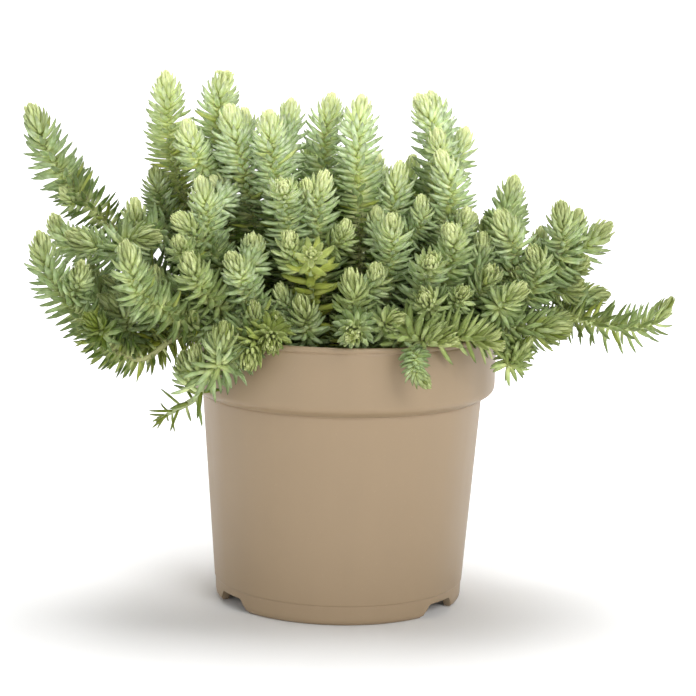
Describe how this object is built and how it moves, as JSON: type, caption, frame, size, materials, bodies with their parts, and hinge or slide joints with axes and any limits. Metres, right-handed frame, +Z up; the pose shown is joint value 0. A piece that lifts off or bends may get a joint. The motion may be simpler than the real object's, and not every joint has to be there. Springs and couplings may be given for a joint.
{
  "type": "potted sedum",
  "caption": "Blue stonecrop with many leafy stems of needle leaves, growing in soil in a round tapered nursery pot with a banded rim.",
  "frame": {"origin": "on the pot's axis, in the plane that the pot's foot stands on", "axes": "+Z up along the pot's axis, -Y towards the front of the plant, +X to its right"},
  "size_m": [0.4088, 0.234, 0.3282],
  "materials": {
    "pot_plastic": "satin moulded taupe plastic",
    "soil": "moist dark peat compost",
    "leaf": "waxy matt leaf with a pale bloom"
  },
  "bodies": {
    "root": {"pot": "pot_plastic", "soil": "soil", "leafy_stem_01": "leaf", "leafy_stem_02": "leaf", "leafy_stem_03": "leaf", "leafy_stem_04": "leaf", "leafy_stem_05": "leaf", "leafy_stem_06": "leaf", "leafy_stem_07": "leaf", "leafy_stem_08": "leaf", "leafy_stem_09": "leaf", "leafy_stem_10": "leaf", "leafy_stem_11": "leaf", "leafy_stem_12": "leaf", "leafy_stem_13": "leaf", "leafy_stem_14": "leaf", "leafy_stem_15": "leaf", "leafy_stem_16": "leaf", "leafy_stem_17": "leaf", "leafy_stem_18": "leaf", "leafy_stem_19": "leaf", "leafy_stem_20": "leaf", "leafy_stem_21": "leaf", "leafy_stem_22": "leaf", "leafy_stem_23": "leaf", "leafy_stem_24": "leaf", "leafy_stem_25": "leaf", "leafy_stem_26": "leaf", "leafy_stem_27": "leaf", "leafy_stem_28": "leaf", "leafy_stem_29": "leaf", "leafy_stem_30": "leaf", "leafy_stem_31": "leaf", "leafy_stem_32": "leaf", "leafy_stem_33": "leaf", "leafy_stem_34": "leaf", "leafy_stem_35": "leaf", "leafy_stem_36": "leaf", "leafy_stem_37": "leaf", "leafy_stem_38": "leaf", "leafy_stem_39": "leaf", "leafy_stem_40": "leaf", "leafy_stem_41": "leaf", "leafy_stem_42": "leaf", "leafy_stem_43": "leaf", "leafy_stem_44": "leaf", "leafy_stem_45": "leaf", "leafy_stem_46": "leaf", "leafy_stem_47": "leaf", "leafy_stem_48": "leaf", "leafy_stem_49": "leaf", "leafy_stem_50": "leaf", "leafy_stem_51": "leaf", "leafy_stem_52": "leaf", "leafy_stem_53": "leaf", "leafy_stem_54": "leaf", "leafy_stem_55": "leaf", "leafy_stem_56": "leaf", "leafy_stem_57": "leaf"}
  },
  "joints": []
}
